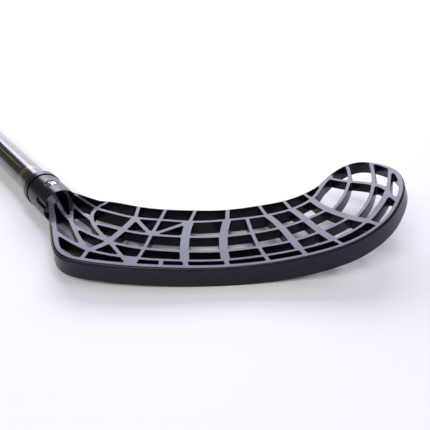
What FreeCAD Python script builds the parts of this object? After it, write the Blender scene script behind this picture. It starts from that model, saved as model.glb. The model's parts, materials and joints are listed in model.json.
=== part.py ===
import FreeCAD, Part
import math
import os
from FreeCAD import Matrix, Vector

# A floorball stick lying on its back: the shaft runs along +Y to the butt, the blade's hollow side is up.
# The blade is drawn in its own frame first: u along the blade to the toe, v across it, w up out of the
# hollow side, with the origin on the shaft's axis at the mouth of the hosel.

# Stance, in degrees
LIE_ANGLE = 128.0
BLADE_ROLL = 3.0

# Shaft and hosel, in millimetres; distances along the shaft are from the hosel's mouth groove
SHAFT_LENGTH = 920.0
SHAFT_TIP = 26.0
SHAFT_DIA = 22.0
SHAFT_GRIP_DIA = 24.6
SHAFT_WALL = 2.0
TAPER_START = 260.0
TAPER_END = 520.0
GLUE_THICKNESS = 0.25
HOSEL_DIA = 27.4
HOSEL_LENGTH = 32.0
HOSEL_END_WALL = 5.6
NECK_DIA = 25.2
NECK_LENGTH = 6.5
GROOVE_WIDTH = 1.2
COLLAR_DIA = 28.6
COLLAR_LENGTH = 7.4
COLLAR_ROUND = 1.6
SLOT_START = 17.5
SLOT_LENGTH = 16.0
SLOT_HEIGHT = 4.0
SLOT_DEPTH = 1.0
SLOT_RISE = 4.4

# Screw that holds the blade on the shaft
SCREW_PLACE = 16.5
SCREW_SEAT = 12.1
SEAT_DIA = 9.6
WASHER_DIA = 8.6
WASHER_THICKNESS = 0.5
HEAD_DIA = 7.4
HEAD_EDGE = 0.7
HEAD_DOME = 1.2
DRIVE_WIDTH = 0.9
DRIVE_LENGTH = 3.4
DRIVE_DEPTH = 1.2
SCREW_DIA = 3.5
SCREW_LENGTH = 14.0
SCREW_POINT = 2.0
THREAD_CLEARANCE = 0.03
SHANK_CLEARANCE = 0.35
WASHER_CLEARANCE = 0.1
PLUG_LENGTH = 22.0
PLUG_CHAMFER = 1.0

# Grip and butt cap
CAP_LENGTH = 12.0
CAP_DIA = COLLAR_DIA
CAP_ROUND = 3.5
CAP_PLUG_LENGTH = 24.0
GRIP_LENGTH = 255.0
GRIP_THICKNESS = 1.5
BAND_WIDTH = 18.0
BAND_THICKNESS = 1.7
END_CHAMFER = 0.5

# Blade surfaces: the top is flat at the heel and rolls up in an arc to the toe
FLAT_TOP = 1.5
HOOK_START = 120.0
HOOK_RADIUS = 350.0
RIM_DEPTH = [(-30, 13.4), (130, 13.6), (190, 14.6), (225, 14.2), (268, 12.0), (300, 12.0)]
SOLE_LINE = -100.0
RIB_DEPTH = 7.0
RAIL_DEPTH = 9.5
RAMP_RISE = 10.0
RAMP_START = 28.0
RAMP_RUN = 26.0
RAMP_OVERRUN = 0.1
RAMP_HOLLOW = 0.8
RAMP_STEPS = 6
RAMP_ROOT = 3.0
RAMP_MARGIN = 0.3
RAMP_SHOULDER = 1.0
RAMP_FOOT = 26.0
NOSE_LENGTH = 14.0
NOSE_TIP_DIA = 7.4
NOSE_SOLID = 1.0
EDGE_ROUND = 1.4
HOLE_DRAFT = 2.5
HOLE_CORNERS = (0.9, 0.85, 0.95)
SHORTEST_EDGE = 0.001
SMALLEST_HOLE = 6.0
BEAD_DROP = 2.0
BEAD_HEIGHT = 0.9
BEAD_PROUD = 0.6
BEAD_REACH = 128.0
BEAD_FRONT = -34.0

# Rim outline from the hosel along the far edge, round the toe, back along the sole and up the heel,
# as (u, v, width of the rim there)
OUTLINE = [(24, -13, 1.4), (40, -14.8, 1.4), (54, -15.6, 1.4), (76, -21.6, 1.5), (97, -25, 1.5),
           (120, -24.8, 1.5), (142, -23.6, 1.5), (165, -20, 1.5), (188, -16, 1.5), (204, -9.2, 1.6),
           (214, -2, 1.6), (222, 7.3, 1.6), (231, 16.6, 1.8), (240.5, 21.6, 2), (250, 21.2, 2),
           (258, 13.8, 2.2), (264.7, 2.2, 2.8), (268.6, -9, 3.2), (269.6, -20, 3.4), (268, -33.3, 3.6),
           (263.6, -46.5, 3.6), (258, -57.2, 3.4), (251.4, -67, 3.3), (244.6, -74.2, 3.2),
           (233.4, -82.2, 3.2), (219.8, -88.5, 3.3), (196.2, -94, 3.5), (157, -98.8, 3.8),
           (119, -101.6, 4), (79, -101.3, 4.2), (51, -97.6, 4.3), (38.3, -93.1, 4.3), (31.2, -85.2, 4.3),
           (25.2, -71, 4.3), (17.5, -48, 4.3), (9.7, -25, 4.3)]

# Points where ribs meet, (u, v)
UPPER_FORK = (47, -28.5)
LOWER_FORK = (46, -45.5)
HEEL_FORK = (32.5, -47.5)
SOLE_FORK = (52.5, -84)
HUB = (64, -73)
CROWN = (77, -40)
STAR = (91, -62.5)
POST_A = (116.5, -43)
POST_B = (143.5, -40)
POST_C = (172, -36.5)
POST_D = (190.5, -31.8)
POST_E = (206.7, -21.5)
FOOT_A = (115.3, -92.5)
FOOT_B = (141.5, -91)
FOOT_C = (189, -85)
FOOT_D = (211, -80.3)
FOOT_E = (235, -67.3)
TOE_HUB = (256.3, -37)

# The four long rails, then the heel fan, the cross ribs and the toe arcs: (width, points)
RAIL_1 = (2.7, [UPPER_FORK, (61, -34.5), CROWN, (95, -41.8), POST_A, POST_B, POST_C, POST_D, POST_E,
                (217, -5), (228, 9)])
RAIL_2 = (2.6, [(48.5, -49.5), (62, -54.3), (76, -59.5), STAR, (114, -63.8), (140.5, -62.3),
                (160.5, -59.7), (182, -55.3), (200, -48.7), (214.5, -41)])
RAIL_3 = (2.5, [HUB, (82, -79), (100, -81.3), (115, -81.8), (140.5, -80.6), (163, -77.7), (186.5, -74),
                (204.5, -68.2), (226, -57.5)])
RAIL_4 = (2.2, [SOLE_FORK, (69, -89), (86, -91.7), FOOT_A, FOOT_B, (167, -88), FOOT_C, FOOT_D, FOOT_E])
HEEL_SPUR = (2.8, [(24, -61), (40, -75.3), SOLE_FORK])
HEEL_RIBS = [
    HEEL_SPUR,
    (2.0, [(26, -18), (39.5, -24.2), UPPER_FORK]),
    (2.2, [(19, -18.5), (27, -26.9), (37.6, -36.1), LOWER_FORK]),
    (2.6, [(13, -24), (23.5, -37), HEEL_FORK]),
    (2.6, [(27, -27), (30.1, -36.3), HEEL_FORK]),
    (3.0, [HEEL_FORK, (38.3, -60), (46.8, -76), SOLE_FORK]),
    (2.6, [(36.5, -54.5), (49.5, -64.3), HUB]),
    (2.8, [SOLE_FORK, (50.2, -97)]),
    (4.4, [SOLE_FORK, (58.5, -79.5), HUB]),
    (2.2, [UPPER_FORK, (55, -12)]),
    (2.8, [UPPER_FORK, (45.2, -37), (48.3, -49.5), (57.7, -65), HUB]),
]
CROSS_RIBS = [
    (4.8, [HUB, (70.5, -58), CROWN]),
    (2.6, [HUB, (74.5, -88.8), (81, -99)]),
    (2.4, [(83.5, -99), (86, -90), (89.3, -74), STAR]),
    (3.2, [CROWN, (83, -50.5), STAR]),
    (2.6, [CROWN, (77.3, -18)]),
    (2.5, [STAR, (95, -41.8), (98.5, -21)]),
    (3.2, [STAR, (104, -53), POST_A]),
    (6.0, [POST_A, (114.4, -64), (114.5, -80), FOOT_A]),
    (3.2, [FOOT_A, (117, -100)]),
    (2.5, [POST_A, (121, -21)]),
    (5.8, [POST_B, (140.5, -62), (140.3, -78), FOOT_B]),
    (3.0, [FOOT_B, (142.7, -99)]),
    (3.0, [POST_B, (144.4, -20)]),
    (2.8, [(100.6, -92.3), (100.6, -101)]),
    (2.5, [(157.8, -38.6), (160.3, -60), (163.5, -77.5), (169.3, -97)]),
    (2.5, [POST_C, (166.8, -16)]),
    (5.0, [POST_C, (182, -60), (187, -78), FOOT_C]),
    (3.0, [FOOT_C, (193, -94.5)]),
    (2.5, [POST_D, (185.3, -12)]),
    (5.0, [POST_D, (199.2, -52.8), (207, -72.5), FOOT_D]),
    (2.4, [FOOT_D, (217, -91)]),
    (2.5, [POST_E, (201, -6)]),
    (5.0, [POST_E, (214, -40), (226, -57.5), FOOT_E]),
    (3.0, [FOOT_E, (243, -79)]),
]
TOE_RIBS = [
    (2.4, [(241, 21), (239.3, 3), (232.5, -19), (217.5, -43.5)]),
    (2.5, [(257.5, 13), (254, -8), (247.5, -30.5), (229.5, -59.5)]),
    (2.3, [(266.5, -5), (261, -23), TOE_HUB]),
    (4.2, [TOE_HUB, (248.6, -50), (235.5, -66.5)]),
    (2.7, [(225, 6.5), (237.4, -7.8), (250.4, -21.7), TOE_HUB]),
    (2.6, [TOE_HUB, (256.6, -48), (259, -58)]),
]
# Solid web between the two ribs that land on the sole ahead of the hub
SOLE_WEB = [(74.5, -89), (86, -90.3), (85.5, -100), (80, -100)]

# Room that the construction solids reach beyond the blade
REACH_UP = 60.0
REACH_DOWN = 40.0
HOLE_UP = 12.0
HOLE_DOWN = 11.0
FAR_SIDE = 60.0
NEAR_SIDE = -140.0
HEEL_SIDE = -30.0
TOE_SIDE = 300.0
STATION_STEP = 15.0
BIG = 400.0
MESH_STEP = 0.05

EDGE = [(u, v) for u, v, width in OUTLINE]
TURN = LIE_ANGLE - 90.0
ALONG = Vector(math.sin(math.radians(TURN)), -math.cos(math.radians(TURN)), 0)
ASIDE = Vector(math.cos(math.radians(TURN)), math.sin(math.radians(TURN)), 0)
UP = Vector(0, 0, 1)
BORE_DIA = SHAFT_DIA + 2 * GLUE_THICKNESS
SCREW_HOLE_DIA = SCREW_DIA + 2 * SHANK_CLEARANCE


def blend(stations, u):
    """Straight-line reading of a list of (place, value) pairs."""
    for (u0, a), (u1, b) in zip(stations[:-1], stations[1:]):
        if u <= u1:
            break
    share = min(1.0, max(0.0, (u - u0) / (u1 - u0)))
    return a + share * (b - a)


def tilt(u):
    """Slope of the blade's top, in radians, at a place along it."""
    return math.asin(max(0.0, u - HOOK_START) / HOOK_RADIUS)


def top_point(u, v):
    return Vector(u, v, FLAT_TOP + HOOK_RADIUS * (1 - math.cos(tilt(u))))


def top_normal(u):
    return Vector(-math.sin(tilt(u)), 0, math.cos(tilt(u)))


def spline(points):
    curve = Part.BSplineCurve()
    curve.interpolate([Vector(*p) for p in points])
    return curve


def below(depth_at, rise=0.0):
    """Everything under the blade's top moved down by a depth, rising away from the sole."""
    count = int((TOE_SIDE - HEEL_SIDE) / STATION_STEP)
    places = [HEEL_SIDE + i * (TOE_SIDE - HEEL_SIDE) / count for i in range(count + 1)]
    points = [top_point(u, NEAR_SIDE) - top_normal(u) * depth_at(u) for u in places]
    curve = spline(points).toShape()
    first, last = points[0], points[-1]
    corners = [last, Vector(last.x, NEAR_SIDE, -BIG), Vector(first.x, NEAR_SIDE, -BIG), first]
    wire = Part.Wire([curve] + Part.makePolygon(corners).Edges)
    solid = Part.Face(wire).extrude(Vector(0, FAR_SIDE - NEAR_SIDE, (FAR_SIDE - NEAR_SIDE) * rise))
    solid.translate(UP * (NEAR_SIDE - SOLE_LINE) * rise)
    return solid


def walls(points):
    """Solid inside an outline whose wall stands square to the blade's curved top."""
    wires = []
    for level in (REACH_UP, -REACH_DOWN):
        row = []
        for u, v in points:
            start, normal = top_point(u, v), top_normal(u)
            row.append(start + normal * ((level - start.z) / normal.z))
        edge = spline(row).toShape()
        wires.append(Part.Wire([edge, Part.makeLine(row[-1], row[0])]))
    return Part.makeLoft(wires, True, True)


def inset(widths):
    """Points of the rim's outline moved inwards by one width for each of its points."""
    curve = spline([(u, v, 0) for u, v in EDGE])
    stations = [(curve.parameter(Vector(u, v, 0)), width) for (u, v), width in zip(EDGE, widths)]
    count = 2 * len(EDGE)
    moved = []
    for i in range(count + 1):
        at = curve.FirstParameter + (curve.LastParameter - curve.FirstParameter) * i / count
        place, way = curve.value(at), curve.tangent(at)[0]
        inward = Vector(way.y, -way.x, 0)
        spot = place + inward * blend(stations, at)
        moved.append((spot.x, spot.y))
    return moved


def evenly(width):
    """The same width at every point of the outline."""
    return [width] * len(EDGE)


def flat_face(points):
    edge = spline([(u, v, 0) for u, v in points]).toShape()
    ends = [Vector(*points[-1], 0), Vector(*points[0], 0)]
    return Part.Face(Part.Wire([edge, Part.makeLine(*ends)]))


def strip(width, points):
    """Flat face of a rib: a band of one width along a smooth line through its points."""
    curve = spline([(u, v, 0) for u, v in points])
    count = 2 * (len(points) - 1) if len(points) > 2 else 1
    sides = ([], [])
    for i in range(count + 1):
        at = curve.FirstParameter + (curve.LastParameter - curve.FirstParameter) * i / count
        place, way = curve.value(at), curve.tangent(at)[0]
        across = Vector(-way.y, way.x, 0) * (width / 2)
        sides[0].append(place + across)
        sides[1].append(place - across)
    edges = [spline(sides[0]).toShape(), Part.makeLine(sides[0][-1], sides[1][-1]),
             spline(sides[1]).toShape(), Part.makeLine(sides[1][0], sides[0][0])]
    return Part.Face(Part.Wire(Part.__sortEdges__(edges)))


def hosel_shadow():
    """Flat face under the hosel, where the lattice has no holes."""
    half = HOSEL_DIA / 2
    reach = HOSEL_LENGTH + NOSE_SOLID
    corners = [ASIDE * side * half + ALONG * place
               for side, place in ((-1, -reach), (1, -reach), (1, reach), (-1, reach))]
    return Part.Face(Part.makePolygon(corners + corners[:1]))


def rounded(face):
    """A hole's face with its corners rounded, by the first radius that leaves no sliver of an edge."""
    for radius in HOLE_CORNERS:
        smooth = face.makeOffset2D(-radius).makeOffset2D(radius)
        if min(edge.Length for edge in smooth.Edges) > SHORTEST_EDGE:
            break
    return smooth


def hole(face):
    """A moulded hole: the face's outline through the blade, square to its top, narrowing downwards."""
    box = face.BoundBox
    centre = box.Center
    normal = top_normal(centre.x)
    slope = math.tan(tilt(centre.x))
    start = top_point(centre.x, 0).z
    wires = []
    for level in (HOLE_UP, -HOLE_DOWN):
        grow = 2 * level * math.tan(math.radians(HOLE_DRAFT))
        wide, high = 1 + grow / box.XLength, 1 + grow / box.YLength
        move = normal * level
        place = Matrix(wide, 0, 0, centre.x * (1 - wide) + move.x,
                       0, high, 0, centre.y * (1 - high) + move.y,
                       slope * wide, 0, 1, start - centre.x * slope * wide + move.z,
                       0, 0, 0, 1)
        wires.append(face.OuterWire.transformGeometry(place))
    return Part.makeLoft(wires, True, True)


def lattice_holes(inner):
    """One solid for each hole between the rim and the ribs."""
    ribs = [RAIL_1, RAIL_2, RAIL_3, RAIL_4] + HEEL_RIBS + CROSS_RIBS + TOE_RIBS
    bands = [strip(width, points) for width, points in ribs]
    web = Part.Face(Part.makePolygon([Vector(u, v, 0) for u, v in SOLE_WEB + SOLE_WEB[:1]]))
    cells = flat_face(inner).cut(bands + [web, hosel_shadow()])
    return [hole(rounded(cell)) for cell in cells.Faces if cell.Area > SMALLEST_HOLE]


def round_bar(dia, start, end):
    """Cylinder on the shaft's axis between two distances towards the blade, in the blade's frame."""
    return Part.makeCylinder(dia / 2, end - start, ALONG * start, ALONG)


def ramp():
    """Neck that falls in a hollow curve from the hosel to the blade's top, and to the far side as a slope."""
    root = UP * (FLAT_TOP - RAMP_ROOT) - ASIDE * BIG / 2
    crest = []
    feet = []
    for i in range(RAMP_STEPS + 1):
        run = (1 + RAMP_OVERRUN) * i / RAMP_STEPS
        left = 1 - run
        fall = RAMP_HOLLOW * left * abs(left) + (1 - RAMP_HOLLOW) * left
        foot = root + ALONG * (RAMP_START + RAMP_RUN * run)
        feet.append(foot)
        crest.append(foot + UP * (RAMP_ROOT + RAMP_RISE * fall))
    border = Part.makePolygon([crest[-1], feet[-1], feet[0], crest[0]])
    wire = Part.Wire([spline(crest).toShape()] + border.Edges)
    neck = Part.Face(wire).extrude(ASIDE * BIG)
    slope = ASIDE - UP * RAMP_RISE / (RAMP_FOOT - RAMP_SHOULDER)
    shoulder = ASIDE * RAMP_SHOULDER + UP * (FLAT_TOP + RAMP_RISE)
    beyond = [shoulder, shoulder + slope * BIG, shoulder + (ASIDE + UP) * BIG, shoulder]
    far_side = Part.Face(Part.makePolygon(beyond)).extrude(ALONG * BIG)
    return neck.cut(far_side).common(walls(inset(evenly(RAMP_MARGIN))))


def nose():
    """Cone that carries the round of the hosel on into the ribs."""
    cone = Part.makeCone(HOSEL_DIA / 2, NOSE_TIP_DIA / 2, NOSE_LENGTH, ALONG * HOSEL_LENGTH, ALONG)
    upper = Part.makeBox(BIG, BIG, BIG, Vector(-BIG / 2, -BIG / 2, FLAT_TOP - RAMP_ROOT / 2))
    return cone.common(upper)


def bead():
    """Fine raised line along the outer wall of the rim, round the heel to the middle of the sole."""
    ring = walls(inset(evenly(-BEAD_PROUD))).cut(walls(inset(evenly(BEAD_PROUD))))
    lane = below(lambda u: BEAD_DROP).cut(below(lambda u: BEAD_DROP + BEAD_HEIGHT))
    zone = Part.makeBox(BEAD_REACH, BEAD_FRONT - NEAR_SIDE, BIG, Vector(0, NEAR_SIDE, -BIG / 2))
    return ring.common(lane).common(zone)


def top_edge(plate):
    """The long edge round the top of the rim."""
    long_edges = sorted(plate.Edges, key=lambda edge: edge.Length)[-2:]
    return max(long_edges, key=lambda edge: edge.valueAt(edge.FirstParameter).z)


def hosel_slot():
    """Long shallow recess with round ends on the heel side of the hosel."""
    radius = SLOT_HEIGHT / 2
    reach = SLOT_LENGTH - SLOT_HEIGHT
    start = SLOT_START + radius
    depth = HOSEL_DIA / 2 - SLOT_DEPTH
    level = UP * SLOT_RISE - ASIDE * math.sqrt(depth ** 2 - SLOT_RISE ** 2)
    ends = [Part.makeCylinder(radius, HOSEL_DIA, level + ALONG * place, -ASIDE)
            for place in (start, start + reach)]
    corner = level + ALONG * start - UP * radius
    middle = Part.makePolygon([corner, corner + ALONG * reach, corner + ALONG * reach + UP * SLOT_HEIGHT,
                               corner + UP * SLOT_HEIGHT, corner])
    return Part.Face(middle).extrude(-ASIDE * HOSEL_DIA).multiFuse(ends)


def blade():
    """Rim, lattice and hosel, moulded in one piece."""
    inner = inset([width for u, v, width in OUTLINE])
    level = ASIDE.y * math.tan(math.radians(BLADE_ROLL))
    under = below(lambda u: blend(RIM_DEPTH, u), level)
    plate = walls(EDGE).common(below(lambda u: 0)).cut(under).Solids[0]
    plate = plate.makeFillet(EDGE_ROUND, [top_edge(plate)])
    pocket = walls(inner).common(below(lambda u: RIB_DEPTH))
    for deep_rib in (RAIL_1, HEEL_SPUR):
        keel = strip(*deep_rib).extrude(UP * -REACH_DOWN).cut(below(lambda u: RAIL_DEPTH))
        pocket = pocket.cut(keel)
    body = plate.cut(pocket).fuse(bead()).fuse(ramp()).fuse(nose())
    body = body.cut(Part.makeCompound(lattice_holes(inner)))
    tube = round_bar(HOSEL_DIA, 0, HOSEL_LENGTH).fuse(round_bar(NECK_DIA, -NECK_LENGTH, HOSEL_LENGTH))
    body = body.fuse(tube)
    body = body.cut(round_bar(BORE_DIA, -NECK_LENGTH, HOSEL_LENGTH - HOSEL_END_WALL)).cut(hosel_slot())
    seat = ALONG * SCREW_PLACE + UP * SCREW_SEAT
    body = body.cut(Part.makeCylinder(SEAT_DIA / 2, HOSEL_DIA, seat, UP))
    body = body.cut(Part.makeCylinder(SCREW_HOLE_DIA / 2, HOSEL_DIA, ALONG * SCREW_PLACE, UP))
    return body.removeSplitter()


def turned(profile):
    """Solid of revolution about the shaft's axis from (radius, distance towards the blade) corners."""
    corners = [ASIDE * radius + ALONG * place for radius, place in profile]
    face = Part.Face(Part.makePolygon(corners + corners[:1]))
    return face.revolve(Vector(0, 0, 0), ALONG, 360)


def screw_bore(shape, dia):
    """Cut the screw's hole into one side of a piece on the shaft's axis."""
    return shape.cut(Part.makeCylinder(dia / 2, HOSEL_DIA, ALONG * SCREW_PLACE, UP))


def end_circles(solid, place):
    """Round edges of a turned piece at one distance towards the blade."""
    return [edge for edge in solid.Edges
            if isinstance(edge.Curve, Part.Circle) and abs(edge.Curve.Center.dot(ALONG) - place) < MESH_STEP]


def hosel_collar():
    """Ring pushed over the neck of the hosel, closing the joint to the shaft."""
    start = -GROOVE_WIDTH - COLLAR_LENGTH
    ring = round_bar(COLLAR_DIA, start, -GROOVE_WIDTH)
    ring = ring.makeFillet(COLLAR_ROUND, end_circles(ring, start))
    return ring.cut(round_bar(NECK_DIA, -NECK_LENGTH, 0)).cut(round_bar(SHAFT_DIA, start, 0))


def hosel_glue():
    """Thin sleeve of hot-melt glue between the shaft and the hosel."""
    end = HOSEL_LENGTH - HOSEL_END_WALL
    glue = round_bar(BORE_DIA, -NECK_LENGTH, end).cut(round_bar(SHAFT_DIA, -NECK_LENGTH, SHAFT_TIP))
    return screw_bore(glue, SCREW_HOLE_DIA)


def shaft_tube():
    """Round tube, thinner at the blade and wider under the grip."""
    butt = SHAFT_TIP - SHAFT_LENGTH
    stations = [(SHAFT_TIP, SHAFT_DIA), (-TAPER_START, SHAFT_DIA),
                (-TAPER_END, SHAFT_GRIP_DIA), (butt, SHAFT_GRIP_DIA)]
    outside = [(dia / 2, place) for place, dia in stations]
    inside = [(dia / 2 - SHAFT_WALL, place) for place, dia in reversed(stations)]
    return screw_bore(turned(outside + inside), SCREW_HOLE_DIA)


def shaft_plug():
    """Solid plug in the end of the tube that the screw bites into."""
    radius = SHAFT_DIA / 2 - SHAFT_WALL
    start = SHAFT_TIP - PLUG_LENGTH
    profile = [(0, start), (radius - PLUG_CHAMFER, start), (radius, start + PLUG_CHAMFER),
               (radius, SHAFT_TIP - PLUG_CHAMFER), (radius - PLUG_CHAMFER, SHAFT_TIP), (0, SHAFT_TIP)]
    plug = turned(profile)
    tip = SCREW_SEAT + WASHER_THICKNESS - SCREW_LENGTH - SCREW_POINT
    dia = SCREW_DIA + 2 * THREAD_CLEARANCE
    return plug.cut(Part.makeCylinder(dia / 2, HOSEL_DIA, ALONG * SCREW_PLACE + UP * tip, UP))


def screw_washer():
    base = ALONG * SCREW_PLACE + UP * SCREW_SEAT
    disc = Part.makeCylinder(WASHER_DIA / 2, WASHER_THICKNESS, base, UP)
    return disc.cut(Part.makeCylinder(SCREW_DIA / 2 + WASHER_CLEARANCE, WASHER_THICKNESS, base, UP))


def blade_screw():
    """Domed screw with a cross drive."""
    base = ALONG * SCREW_PLACE + UP * (SCREW_SEAT + WASHER_THICKNESS)
    radius = HEAD_DIA / 2
    rim, crown = HEAD_EDGE, HEAD_EDGE + HEAD_DOME
    dome_radius = (radius ** 2 + HEAD_DOME ** 2) / (2 * HEAD_DOME)
    half_way = math.asin(radius / dome_radius) / 2
    fall = dome_radius * (1 - math.cos(half_way))
    shoulder = base + ASIDE * dome_radius * math.sin(half_way) + UP * (crown - fall)
    dome = Part.Arc(base + ASIDE * radius + UP * rim, shoulder, base + UP * crown).toShape()
    shank = SCREW_DIA / 2
    corners = [base + UP * crown, base - UP * (SCREW_LENGTH + SCREW_POINT),
               base + ASIDE * shank - UP * SCREW_LENGTH, base + ASIDE * shank,
               base + ASIDE * radius, base + ASIDE * radius + UP * rim]
    wire = Part.Wire(Part.makePolygon(corners).Edges + [dome])
    screw = Part.Face(wire).revolve(base, UP, 360)
    floor = base + UP * (crown - DRIVE_DEPTH)
    for way, across in ((ALONG, ASIDE), (ASIDE, ALONG)):
        corner = floor - way * (DRIVE_LENGTH / 2) - across * (DRIVE_WIDTH / 2)
        long_side, short_side = way * DRIVE_LENGTH, across * DRIVE_WIDTH
        slot = Part.makePolygon([corner, corner + long_side, corner + long_side + short_side,
                                 corner + short_side, corner])
        screw = screw.cut(Part.Face(slot).extrude(UP * HEAD_DIA))
    return screw


def sleeve(inner, thickness, start, end):
    """Tube with chamfered outer ends round the shaft."""
    low, high = inner / 2, inner / 2 + thickness
    return turned([(low, start), (high - END_CHAMFER, start), (high, start + END_CHAMFER),
                   (high, end - END_CHAMFER), (high - END_CHAMFER, end), (low, end)])


def butt_cap():
    """Rounded cap with a plug that is pressed into the open end of the tube."""
    butt = SHAFT_TIP - SHAFT_LENGTH
    cap = round_bar(CAP_DIA, butt - CAP_LENGTH, butt)
    cap = cap.makeFillet(CAP_ROUND, end_circles(cap, butt - CAP_LENGTH))
    plug = round_bar(SHAFT_GRIP_DIA - 2 * SHAFT_WALL, butt, butt + CAP_PLUG_LENGTH)
    return cap.fuse(plug).removeSplitter()


butt_end = SHAFT_TIP - SHAFT_LENGTH
grip_end = butt_end + GRIP_LENGTH
pieces = {
    "blade": blade(),
    "hosel_collar": hosel_collar(),
    "hosel_glue": hosel_glue(),
    "shaft_tube": shaft_tube(),
    "shaft_plug": shaft_plug(),
    "screw_washer": screw_washer(),
    "blade_screw": blade_screw(),
    "grip_wrap": sleeve(SHAFT_GRIP_DIA, GRIP_THICKNESS, butt_end, grip_end),
    "grip_band": sleeve(SHAFT_GRIP_DIA, BAND_THICKNESS, grip_end, grip_end + BAND_WIDTH),
    "butt_cap": butt_cap(),
}

# Lay the stick down: shaft along +Y, blade rolled until its belly meets the floor, origin under the middle
box = FreeCAD.BoundBox()
for shape in pieces.values():
    shape.rotate(Vector(0, 0, 0), UP, -TURN)
    shape.rotate(Vector(0, 0, 0), Vector(0, 1, 0), BLADE_ROLL)
    for point in shape.copy().tessellate(MESH_STEP)[0]:
        box.add(point)
shift = Vector(-box.Center.x, -box.Center.y, -box.ZMin)
os.makedirs("parts", exist_ok=True)
for name, shape in pieces.items():
    shape.translate(shift)
    shape.Solids[0].exportStep("parts/" + name + ".step")
    print(name, shape.ShapeType, len(shape.Solids), shape.isValid(), round(shape.Volume, 1))
print("size", box.XLength, box.YLength, box.ZLength)
print("hosel groove centre", shift)
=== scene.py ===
import json
import math

import bmesh
import bpy
from mathutils import Matrix, Vector

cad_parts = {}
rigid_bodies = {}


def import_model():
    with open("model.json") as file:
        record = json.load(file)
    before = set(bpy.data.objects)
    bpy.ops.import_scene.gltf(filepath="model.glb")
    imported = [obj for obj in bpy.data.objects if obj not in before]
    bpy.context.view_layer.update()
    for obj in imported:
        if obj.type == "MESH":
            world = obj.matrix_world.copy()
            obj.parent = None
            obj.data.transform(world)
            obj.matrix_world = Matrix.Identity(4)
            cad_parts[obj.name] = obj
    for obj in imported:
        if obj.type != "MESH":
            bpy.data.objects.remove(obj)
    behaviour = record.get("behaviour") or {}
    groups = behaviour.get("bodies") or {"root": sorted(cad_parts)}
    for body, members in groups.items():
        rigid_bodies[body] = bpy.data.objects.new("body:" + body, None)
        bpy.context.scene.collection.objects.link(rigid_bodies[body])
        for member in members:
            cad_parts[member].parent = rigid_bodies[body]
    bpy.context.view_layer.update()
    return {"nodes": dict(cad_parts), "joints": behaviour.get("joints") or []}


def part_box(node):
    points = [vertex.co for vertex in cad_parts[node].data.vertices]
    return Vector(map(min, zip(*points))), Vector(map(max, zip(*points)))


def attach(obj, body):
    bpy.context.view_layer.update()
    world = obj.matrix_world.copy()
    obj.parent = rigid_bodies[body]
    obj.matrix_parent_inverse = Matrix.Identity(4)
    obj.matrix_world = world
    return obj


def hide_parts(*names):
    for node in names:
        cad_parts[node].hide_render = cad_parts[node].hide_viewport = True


# A floorball stick on a pale table. The blade, its hosel and the start of the shaft are near the camera.

MM = 0.001
FULL_TURN = 2 * math.pi

# Photograph: a square frame, its focal length in pixels, and the camera's place from the hosel's mouth
PHOTO_SIDE = 430
PHOTO_FOCAL = 500
CAMERA_AZIMUTH = -38
CAMERA_PITCH = 31
CAMERA_FROM_HOSEL = Vector((-108.9, -358.0, 187.6)) * MM
SENSOR = 36

# Sizes in millimetres: the hosel's groove, the washer and the screw
MOUTH_GROOVE = 1.2
WASHER_THICKNESS = 0.5
HEAD_RADIUS = 3.7
HEAD_EDGE = 0.7
HEAD_DOME = 1.2
HEAD_SOFT = 0.25
NECK_RADIUS = 1.4
NECK_LENGTH = 1.0
RECESS_LENGTH = 3.6
RECESS_WIDTH = 0.9
RECESS_DEPTH = 1.3
RECESS_TAPER = 0.55
SCREW_LENGTH = 14.0
SCREW_POINT = 2.0
THREAD_PITCH = 1.6
THREAD_CORE = 1.25
THREAD_CREST = 1.72

# Sizes in millimetres: the grip and its band
WRAP_PITCH = 22.0
WRAP_LAP = 3.0
WRAP_STEP = 0.7
WRAP_SOFT = 0.12
WRAP_SAG = 0.05
WRAP_CLEARANCE = 0.03
HOLE_SPACING = 3.1
GRIP_GIRTH = 86.8
BAND_STEP = 0.35
BAND_WAVE = 0.3
BAND_WAVES = 3
BAND_DEPTH = 1.4
BAND_SOFT = 0.15
BAND_EDGE = 0.2

# Sizes in millimetres: the shaft's pattern, with rings as places and widths
RING_PLACES = ((24.0, 0.8), (27.5, 1.4))
STRIPE_START = 33.0
STRIPE_COUNT = 6
STRIPE_WIDTH = 0.8
TOW_DRAWN = 3.0
SHAFT_GIRTH = 69.1

# Fineness of the meshes: faces round a piece, welding distance in millimetres, sharp edges in degrees
LATHE_STEPS = 48
DOME_STEPS = 8
THREAD_STEPS = 32
WRAP_STEPS = 72
BAND_STEPS = 96
WELD = 0.002
SHARP_ANGLE = 40

# Sockets of a Mix node that blends colours
MIX_A = 6
MIX_B = 7
MIX_RESULT = 2

for leftover in list(bpy.data.objects):
    bpy.data.objects.remove(leftover)
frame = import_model()
nodes = frame["nodes"]


def middle(name):
    """Middle of a node's box."""
    low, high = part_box(name)
    return (low + high) / 2


hosel_mouth = middle("hosel_collar")
hosel_mouth.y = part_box("hosel_collar")[0].y - MOUTH_GROOVE * MM
screw_axis = Vector(next(joint["axis"] for joint in frame["joints"] if joint["name"] == "screw_out"))
screw_base = middle("screw_washer") + screw_axis * WASHER_THICKNESS * MM / 2


# Nodes and colours of the materials

def linear(code):
    """An sRGB hex colour as linear red, green, blue and alpha."""
    parts = [int(code[i:i + 2], 16) / 255 for i in (1, 3, 5)]
    return tuple(p / 12.92 if p <= 0.04045 else ((p + 0.055) / 1.055) ** 2.4 for p in parts) + (1.0,)


def connect(tree, node, inputs):
    """Fill a node's inputs: a socket is linked, anything else is written as the input's value."""
    for name, value in inputs.items():
        if isinstance(value, bpy.types.NodeSocket):
            tree.links.new(value, node.inputs[name])
        else:
            node.inputs[name].default_value = value


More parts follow.
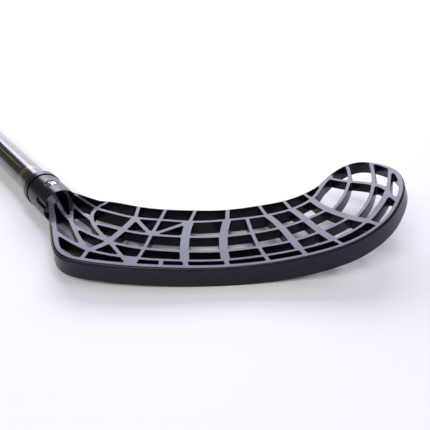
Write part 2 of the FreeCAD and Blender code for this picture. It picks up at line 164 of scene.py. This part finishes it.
def add(tree, kind, inputs=(), out=0, stops=(), **settings):
    """Add a shader node with its settings, two colour stops and inputs, and give one of its outputs."""
    made = tree.nodes.new("ShaderNode" + kind)
    for name, value in settings.items():
        setattr(made, name, value)
    for i, (position, code) in enumerate(stops):
        made.color_ramp.elements[i].position = position
        made.color_ramp.elements[i].color = linear(code)
    connect(tree, made, inputs if isinstance(inputs, dict) else dict(enumerate(inputs)))
    return made.outputs[out]


def start_material(name):
    """A new material, its nodes, and the place on the object in metres."""
    material = bpy.data.materials.new(name)
    material.use_nodes = True
    return material, material.node_tree, add(material.node_tree, "TexCoord", out="Object")


def set_surface(tree, **inputs):
    """Fill the inputs of the Principled shader, which are named here with underscores."""
    names = {key: key.replace("_", " ").title().replace("Ior", "IOR") for key in inputs}
    connect(tree, tree.nodes["Principled BSDF"], {names[key]: value for key, value in inputs.items()})


def per_mm(size):
    """Texture scale, in cycles per metre, of a pattern with features of a size in millimetres."""
    return 1 / (size * MM)


def unrolled(tree, place, girth):
    """Flat place on a round piece: millimetres round the shaft, then along it from the hosel's mouth."""
    moved = add(tree, "VectorMath", [place, hosel_mouth], operation="SUBTRACT")
    parts = add(tree, "SeparateXYZ", [moved]).node.outputs
    angle = add(tree, "Math", [parts["X"], parts["Z"]], operation="ARCTAN2")
    arc = add(tree, "Math", [angle, girth / FULL_TURN], operation="MULTIPLY")
    along = add(tree, "Math", [parts["Y"], MM], operation="DIVIDE")
    return add(tree, "CombineXYZ", [arc, along])


def moulded_plastic(name, dark, edge_highlight, gloss, **shader):
    """Satin plastic from a spark-eroded mould: an even sheen, fine grain, and edges painted paler as a
    painted highlight.
    """
    material, tree, place = start_material(name)
    soft = add(tree, "Bevel", {"Radius": 0.5 * MM}, samples=6)
    true = add(tree, "NewGeometry", out="Normal")
    match = add(tree, "VectorMath", [soft, true], out="Value", operation="DOT_PRODUCT")
    cloud = add(tree, "TexNoise", {"Vector": place, "Scale": per_mm(30), "Detail": 3})
    # The real grain is about 0.05 mm and is drawn ten times coarser
    grain = add(tree, "TexNoise", {"Vector": place, "Scale": per_mm(0.5)})
    # Where the rounded normal turns away from the face, the colour goes paler: a painted highlight on the
    # edges
    set_surface(tree, **shader,
                base_color=add(tree, "ValToRGB", [match], stops=[(0.75, edge_highlight), (1.0, dark)]),
                roughness=add(tree, "MapRange", [cloud, 0.3, 0.7, gloss - 0.04, gloss + 0.04]),
                normal=add(tree, "Bump", {"Height": grain, "Distance": 0.03 * MM, "Strength": 0.1,
                                          "Normal": soft}))
    return material


def lacquered_laminate():
    """Dark brown fibre laminate under clear lacquer, with gold printed rings and pinstripes."""
    material, tree, place = start_material("lacquered_laminate")
    flat = unrolled(tree, place, SHAFT_GIRTH)
    across, along = add(tree, "SeparateXYZ", [flat]).node.outputs[:2]
    # Braided fibres in diamonds; real tows of 1 mm are drawn at 3 mm
    braid = add(tree, "TexVoronoi", {"Vector": flat, "Scale": 1 / TOW_DRAWN, "Randomness": 0.0},
                distance="MANHATTAN")
    brown = add(tree, "ValToRGB", [braid], stops=[(0.2, "#0d090a"), (0.8, "#150f0f")])
    grey = add(tree, "ValToRGB", [braid], stops=[(0.2, "#141113"), (0.8, "#1b181a")])
    beyond = add(tree, "Math", [along, RING_PLACES[0][0]], operation="GREATER_THAN")
    ground = add(tree, "Mix", {"Factor": beyond, MIX_A: grey, MIX_B: brown}, out=MIX_RESULT,
                 data_type="RGBA")
    # Stripes stand half a spacing off the shaft's top line, and start beyond the rings
    reach = SHAFT_GIRTH / STRIPE_COUNT / 2
    wave = add(tree, "Math", [across, reach], operation="PINGPONG")
    stripe = add(tree, "Math", [wave, reach - STRIPE_WIDTH / 2], operation="GREATER_THAN")
    started = add(tree, "Math", [along, STRIPE_START], operation="GREATER_THAN")
    gold = add(tree, "Math", [stripe, started], operation="MULTIPLY")
    for centre, width in RING_PLACES:
        ring = add(tree, "Math", [along, centre, width / 2], operation="COMPARE")
        gold = add(tree, "Math", [gold, ring], operation="MAXIMUM")
    cloud = add(tree, "TexNoise", {"Vector": place, "Scale": per_mm(8)})
    ink = add(tree, "ValToRGB", [cloud], stops=[(0.3, "#8f7237"), (0.7, "#b3924c")])
    set_surface(tree, coat_weight=1.0, coat_roughness=0.18, specular_ior_level=0.15,
                base_color=add(tree, "Mix", {"Factor": gold, MIX_A: ground, MIX_B: ink}, out=MIX_RESULT,
                               data_type="RGBA"),
                metallic=add(tree, "MapRange", [gold, 0.0, 1.0, 0.0, 0.6]),
                roughness=add(tree, "MapRange", [cloud, 0.3, 0.7, 0.3, 0.4]),
                coat_normal=add(tree, "Bump", {"Height": cloud, "Distance": 0.05 * MM, "Strength": 0.2}))
    return material


def plated_steel(name, pale, deep, gloss, mark):
    """Plated steel, or dark steel whose darkness is painted shade: fine turning marks round the axis and
    faint clouds in the finish.
    """
    material, tree, place = start_material(name)
    moved = add(tree, "VectorMath", [place, screw_base], operation="SUBTRACT")
    # Turning marks are drawn six times coarser than they are
    rings = add(tree, "TexWave", {"Vector": moved, "Scale": per_mm(mark * 6), "Distortion": 1.0}, out=1,
                wave_type="RINGS", rings_direction="Z")
    cloud = add(tree, "TexNoise", {"Vector": place, "Scale": per_mm(1.5)})
    set_surface(tree, metallic=1.0,
                base_color=add(tree, "ValToRGB", [cloud], stops=[(0.3, deep), (0.7, pale)]),
                roughness=add(tree, "MapRange", [cloud, 0.3, 0.7, gloss - 0.06, gloss + 0.06]),
                normal=add(tree, "Bump", {"Height": rings, "Distance": 0.01 * MM, "Strength": 0.25}))
    return material


def hot_melt():
    """Amber hot-melt glue: milky, with trapped bubbles and a wavy skin."""
    material, tree, place = start_material("hot_melt_glue")
    cloud = add(tree, "TexNoise", {"Vector": place, "Scale": per_mm(3), "Detail": 4})
    set_surface(tree, roughness=0.35, transmission_weight=0.3, ior=1.49,
                base_color=add(tree, "ValToRGB", [cloud], stops=[(0.35, "#b08238"), (0.7, "#d9b876")]),
                normal=add(tree, "Bump", {"Height": cloud, "Distance": 0.2 * MM, "Strength": 0.4}))
    return material


def perforated_grip():
    """Tacky polyurethane wrap: matt black, pebbled, with rows of punched holes."""
    material, tree, place = start_material("perforated_polyurethane")
    flat = unrolled(tree, place, GRIP_GIRTH)
    dots = add(tree, "TexVoronoi", {"Vector": flat, "Scale": 1 / HOLE_SPACING, "Randomness": 0.0})
    hole = add(tree, "MapRange", [dots, 0.28, 0.2, 0.0, 1.0])
    pebble = add(tree, "TexNoise", {"Vector": place, "Scale": per_mm(0.8)})
    height = add(tree, "Math", [hole, -4.0, pebble], operation="MULTIPLY_ADD")
    cloud = add(tree, "TexNoise", {"Vector": place, "Scale": per_mm(25)})
    # The punched holes are painted darker: the dark shaft showing through, and painted shade inside the
    # holes
    set_surface(tree, ior=1.5,
                base_color=add(tree, "ValToRGB", [hole], stops=[(0, "#1d1d20"), (1, "#08080a")]),
                roughness=add(tree, "MapRange", [cloud, 0.3, 0.7, 0.55, 0.7]),
                normal=add(tree, "Bump", {"Height": height, "Distance": 0.1 * MM, "Strength": 0.5}))
    return material


def vinyl_tape():
    """Stretched black vinyl: a low sheen with fine creases round the shaft."""
    material, tree, place = start_material("vinyl_tape")
    flat = unrolled(tree, place, GRIP_GIRTH)
    drawn = add(tree, "VectorMath", [flat, (0.03, 1.0, 1.0)], operation="MULTIPLY")
    crease = add(tree, "TexNoise", {"Vector": drawn, "Scale": 0.9, "Detail": 3})
    set_surface(tree, ior=1.53,
                base_color=add(tree, "ValToRGB", [crease], stops=[(0.3, "#0d0d10"), (0.7, "#19191d")]),
                roughness=add(tree, "MapRange", [crease, 0.3, 0.7, 0.3, 0.45]),
                normal=add(tree, "Bump", {"Height": crease, "Distance": 0.15 * MM, "Strength": 0.4}))
    return material


def moulded_rubber():
    """Matt black rubber from a plain mould: soft grain and a dusty bloom."""
    material, tree, place = start_material("moulded_rubber")
    bloom = add(tree, "TexNoise", {"Vector": place, "Scale": per_mm(9), "Detail": 5})
    grain = add(tree, "TexNoise", {"Vector": place, "Scale": per_mm(0.7)})
    set_surface(tree, ior=1.52,
                base_color=add(tree, "ValToRGB", [bloom], stops=[(0.35, "#131315"), (0.7, "#212124")]),
                roughness=add(tree, "MapRange", [bloom, 0.3, 0.7, 0.6, 0.75]),
                normal=add(tree, "Bump", {"Height": grain, "Distance": 0.1 * MM, "Strength": 0.2}))
    return material


# New pieces: shapes wound or cut finer than the solids

def finish_mesh(shape, name, material, matrix, body, node):
    """Turn a bmesh into a smooth piece that rides a body and stands for a node."""
    bmesh.ops.remove_doubles(shape, verts=shape.verts, dist=WELD * MM)
    bmesh.ops.dissolve_degenerate(shape, edges=shape.edges, dist=WELD * MM)
    bmesh.ops.recalc_face_normals(shape, faces=shape.faces)
    mesh = bpy.data.meshes.new(name)
    shape.to_mesh(mesh)
    shape.free()
    mesh.transform(matrix)
    mesh.materials.append(material)
    mesh.shade_smooth()
    mesh.set_sharp_from_angle(angle=math.radians(SHARP_ANGLE))
    made = bpy.data.objects.new(name, mesh)
    bpy.context.collection.objects.link(made)
    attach(made, body)
    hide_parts(node)
    return made


def grid(shape, rows):
    """Faces between rows of points that run side by side."""
    lines = [[shape.verts.new(Vector(point) * MM) for point in row] for row in rows]
    for near, far in zip(lines[:-1], lines[1:]):
        for i in range(len(near) - 1):
            shape.faces.new((near[i], near[i + 1], far[i + 1], far[i]))


def lathe(shape, profile):
    """Turn a profile of (radius, height) about the Z axis."""
    rows = []
    for i in range(LATHE_STEPS + 1):
        angle = FULL_TURN * i / LATHE_STEPS
        rows.append([(r * math.cos(angle), r * math.sin(angle), z) for r, z in profile])
    grid(shape, rows)


def helix(shape, length, pitch, profile, steps, limit):
    """Wind a profile of (share of a pitch, radius) along the Z axis, cut off at both ends."""
    turns = math.ceil(length / pitch) + 2
    rows = []
    for i in range(turns * steps + 1):
        angle = FULL_TURN * i / steps
        row = []
        for share, radius in profile:
            z = min(length, max(0.0, pitch * (i / steps - 1 + share - 0.5)))
            r = min(radius, limit(z))
            row.append((r * math.cos(angle), r * math.sin(angle), z))
        rows.append(row)
    grid(shape, rows)


def screw_matrix():
    """Place and lean of the screw, with its head's seat at the origin and the head up."""
    return Matrix.Translation(screw_base) @ screw_axis.to_track_quat("Z", "Y").to_matrix().to_4x4()


def cross_recess():
    """Cutter for the head's cross: two slots that narrow downwards."""
    top = HEAD_EDGE + HEAD_DOME
    shape = bmesh.new()
    for length, width in ((RECESS_LENGTH, RECESS_WIDTH), (RECESS_WIDTH, RECESS_LENGTH)):
        rows = []
        for height, share in ((top - RECESS_DEPTH, RECESS_TAPER), (top + RECESS_DEPTH, 2 - RECESS_TAPER)):
            half_x, half_y = length * share / 2, width * share / 2
            rows.append([shape.verts.new(Vector((x, y, height)) * MM) for x, y in
                         ((-half_x, -half_y), (half_x, -half_y), (half_x, half_y), (-half_x, half_y))])
        low, high = rows
        shape.faces.new(low)
        shape.faces.new(high)
        for i in range(4):
            shape.faces.new((low[i - 1], low[i], high[i], high[i - 1]))
    bmesh.ops.recalc_face_normals(shape, faces=shape.faces)
    mesh = bpy.data.meshes.new("cutter")
    shape.to_mesh(mesh)
    shape.free()
    mesh.transform(screw_matrix())
    cutter = bpy.data.objects.new("cutter", mesh)
    bpy.context.collection.objects.link(cutter)
    return cutter


def carve(piece, cutter):
    """Cut one mesh out of another for good and drop the cutter."""
    change = piece.modifiers.new("recess", "BOOLEAN")
    change.operation = "DIFFERENCE"
    change.object = cutter
    change.use_self = True
    bpy.context.view_layer.update()
    graph = bpy.context.evaluated_depsgraph_get()
    carved = bpy.data.meshes.new_from_object(piece.evaluated_get(graph))
    piece.modifiers.clear()
    piece.data = carved
    bpy.data.objects.remove(cutter)


def make_screw(material):
    """Domed head with a cross recess, and a threaded shank with a point."""
    top = HEAD_EDGE + HEAD_DOME
    dome_radius = (HEAD_RADIUS ** 2 + HEAD_DOME ** 2) / (2 * HEAD_DOME)
    reach = math.asin(HEAD_RADIUS / dome_radius)
    profile = [(0, -NECK_LENGTH - 1), (NECK_RADIUS, -NECK_LENGTH - 1), (NECK_RADIUS, 0),
               (HEAD_RADIUS - HEAD_SOFT, 0), (HEAD_RADIUS, HEAD_SOFT)]
    for i in range(DOME_STEPS + 1):
        angle = reach * (1 - i / DOME_STEPS)
        profile.append((dome_radius * math.sin(angle), top - dome_radius * (1 - math.cos(angle))))
    shape = bmesh.new()
    lathe(shape, profile)
    head = finish_mesh(shape, "screw_head", material, screw_matrix(), "screw", "blade_screw")
    carve(head, cross_recess())

    length = SCREW_LENGTH + SCREW_POINT - NECK_LENGTH
    turn = [(0.0, THREAD_CREST), (0.1, THREAD_CREST), (0.3, THREAD_CORE), (0.85, THREAD_CORE),
            (1.0, THREAD_CREST)]
    shape = bmesh.new()
    helix(shape, length, THREAD_PITCH, turn, THREAD_STEPS,
          lambda z: THREAD_CREST * min(1.0, z / SCREW_POINT))
    down = Matrix.Translation((0, 0, -(SCREW_LENGTH + SCREW_POINT) * MM))
    finish_mesh(shape, "screw_thread", material, screw_matrix() @ down,
                "screw", "blade_screw")


def shaft_matrix(name):
    """Place of a round piece on the shaft: Z runs along the shaft from the end nearest the blade."""
    start = Vector((hosel_mouth.x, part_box(name)[0].y, hosel_mouth.z))
    return Matrix.Translation(start) @ Vector((0, 1, 0)).to_track_quat("Z", "Y").to_matrix().to_4x4()


def node_size(name):
    """Outer radius and length of a round piece on the shaft, in millimetres."""
    low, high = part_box(name)
    return (high.x - low.x) / 2 / MM, (high.y - low.y) / MM


def make_grip(material):
    """Grip tape wound up the shaft: each turn laps over the one before and leaves a step."""
    outer, length = node_size("grip_wrap")
    high = outer - WRAP_CLEARANCE
    low = high - WRAP_STEP
    lap = WRAP_LAP / WRAP_PITCH
    turn = [(0.0, low), (0.02, high - WRAP_SOFT), (0.05, high), (lap, high - WRAP_SAG),
            (0.5, (high + low) / 2), (1.0, low)]
    shape = bmesh.new()
    helix(shape, length, WRAP_PITCH, turn, WRAP_STEPS, lambda z: outer)
    finish_mesh(shape, "wound_grip", material, shaft_matrix("grip_wrap"),
                "stick", "grip_wrap")


def make_band(material):
    """Tape round the end of the grip: its outer end shows as a step, and its edges wander a little."""
    outer, length = node_size("grip_band")
    high = outer - WRAP_CLEARANCE
    rows = []
    for i in range(BAND_STEPS + 1):
        angle = FULL_TURN * i / BAND_STEPS
        radius = high - BAND_STEP * i / BAND_STEPS
        edge = BAND_WAVE * (1 + math.sin(BAND_WAVES * angle)) / 2
        half = [(radius - BAND_DEPTH, edge), (radius - BAND_SOFT, edge), (radius, edge + BAND_EDGE)]
        profile = half + [(r, length - z) for r, z in reversed(half)]
        rows.append([(r * math.cos(angle), r * math.sin(angle), z) for r, z in profile])
    rows.append(rows[0])
    shape = bmesh.new()
    grid(shape, rows)
    finish_mesh(shape, "taped_band", material, shaft_matrix("grip_band"), "stick", "grip_band")


# Materials on the pieces

def paint(name, material):
    """Give a solid its one material."""
    nodes[name].data.materials.clear()
    nodes[name].data.materials.append(material)


# The second colour of each plastic is the painted highlight on its edges
paint("blade", moulded_plastic("moulded_polyethylene", "#08080c", "#17171e", 0.28, ior=1.47,
                               specular_tint=linear("#e4e4ff")))
paint("hosel_collar", moulded_plastic("collar_elastomer", "#09090d", "#191920", 0.3, ior=1.5,
                                      specular_tint=linear("#e4e4ff")))
paint("shaft_plug", moulded_plastic("nylon_plug", "#3a3b3e", "#55565a", 0.45, ior=1.53))
paint("hosel_glue", hot_melt())
paint("shaft_tube", lacquered_laminate())
# The washer is drawn dark as painted shade: it gives the shade round the screw head's seat
paint("screw_washer", plated_steel("dark_steel_painted_shade", "#2a2a2d", "#1f1f22", 0.35, 0.12))
paint("butt_cap", moulded_rubber())
for name in ("blade_screw", "grip_wrap", "grip_band"):
    nodes[name].data.materials.clear()
make_screw(plated_steel("nickel_plated_steel", "#dddad2", "#c4c0b6", 0.2, 0.1))
make_grip(perforated_grip())
make_band(vinyl_tape())


# Floor, light and camera

def make_floor():
    """Pale table with a low sheen and faint unevenness."""
    bpy.ops.mesh.primitive_plane_add(size=12)
    floor = bpy.context.object
    floor.name = "floor"
    material, tree, place = start_material("pale_table")
    cloud = add(tree, "TexNoise", {"Vector": place, "Scale": per_mm(400)})
    set_surface(tree, roughness=0.5, specular_ior_level=0.25,
                base_color=add(tree, "ValToRGB", [cloud], stops=[(0.3, "#efedf0"), (0.7, "#f1eff2")]))
    floor.data.materials.append(material)


def make_softbox(name, place, target, size, radiance, code):
    """Rectangular light that faces a target, given by how bright its face is."""
    data = bpy.data.lights.new(name, "AREA")
    data.shape = "RECTANGLE"
    data.size, data.size_y = size
    data.energy = radiance * math.pi * size[0] * size[1]
    data.color = linear(code)[:3]
    lamp = bpy.data.objects.new(name, data)
    bpy.context.collection.objects.link(lamp)
    lamp.location = place
    lamp.rotation_euler = (target - place).to_track_quat("-Z", "Y").to_euler()


def from_camera(right, away, up):
    """A place given in the camera's own directions on the floor, in metres from the blade's middle."""
    turn = math.radians(CAMERA_AZIMUTH)
    base = middle("blade")
    return Vector((base.x + right * math.cos(turn) - away * math.sin(turn),
                   base.y + right * math.sin(turn) + away * math.cos(turn), up))


def make_world():
    """Low even light all round, so that the dark side of the shaft stays dark."""
    world = bpy.data.worlds.new("studio")
    bpy.context.scene.world = world
    world.use_nodes = True
    background = world.node_tree.nodes["Background"]
    background.inputs["Color"].default_value = linear("#f6f5fa")
    background.inputs["Strength"].default_value = 0.15


def make_camera():
    """The photograph's camera."""
    data = bpy.data.cameras.new("camera")
    data.sensor_width = SENSOR
    data.lens = SENSOR * PHOTO_FOCAL / PHOTO_SIDE
    camera = bpy.data.objects.new("camera", data)
    bpy.context.collection.objects.link(camera)
    camera.location = hosel_mouth + CAMERA_FROM_HOSEL
    camera.rotation_euler = (math.radians(90 - CAMERA_PITCH), 0, math.radians(CAMERA_AZIMUTH))
    bpy.context.scene.camera = camera


make_floor()
make_world()
# Two panels beyond the blade give its upper faces their sheen
make_softbox("back_panel", place=from_camera(-0.25, 3.0, 2.05), target=from_camera(-0.25, 0, 2.05),
             size=(3.5, 1.7), radiance=6.6, code="#eeeeff")
make_softbox("low_panel", place=from_camera(0, 3.0, 0.62), target=from_camera(0, 0, 0.62),
             size=(4.0, 1.1), radiance=1.8, code="#f4f4ff")
# A strip along the shaft shows in the slope of the hosel's neck
strip_place = hosel_mouth + Vector((0.87, 0.2, 3.0))
make_softbox("top_strip", place=strip_place, target=strip_place - Vector((0, 0, 3.0)),
             size=(0.7, 3.4), radiance=3.8, code="#eeeeff")
# A soft fill on the camera's left lightens the shadows and the sole's wall
make_softbox("front_softbox", place=from_camera(-1.0, -1.6, 2.2), target=from_camera(0, 0, 0),
             size=(3.0, 1.4), radiance=4.2, code="#ffffff")
make_camera()
bpy.context.scene.view_settings.view_transform = "Standard"
